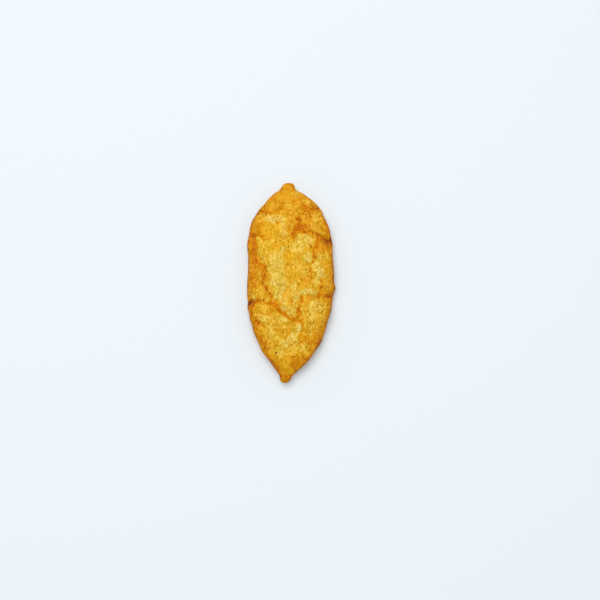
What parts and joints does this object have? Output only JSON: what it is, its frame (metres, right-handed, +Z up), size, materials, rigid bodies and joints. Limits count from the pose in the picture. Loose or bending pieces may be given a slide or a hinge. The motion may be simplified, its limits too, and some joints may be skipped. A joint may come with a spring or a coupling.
{
  "type": "japanese rice cracker",
  "caption": "Leaf-shaped puffed rice cracker with a crowned, creased golden top, a rounded rim and a blunt nub at each end, lying on its flatter side.",
  "frame": {"origin": "on the surface that the cracker rests on, under the middle of its bounding box", "axes": "+Y along the cracker to its fuller end, +Z up through the crowned top, +X to the right seen from above with the fuller end away"},
  "size_m": [0.0266, 0.06, 0.0078],
  "materials": {
    "fried_crust": "semi-matte porous fried crust with a light film of oil, pale gold on the plates and amber in the creases and at the rim"
  },
  "bodies": {
    "root": {"cracker": "fried_crust"}
  },
  "joints": []
}
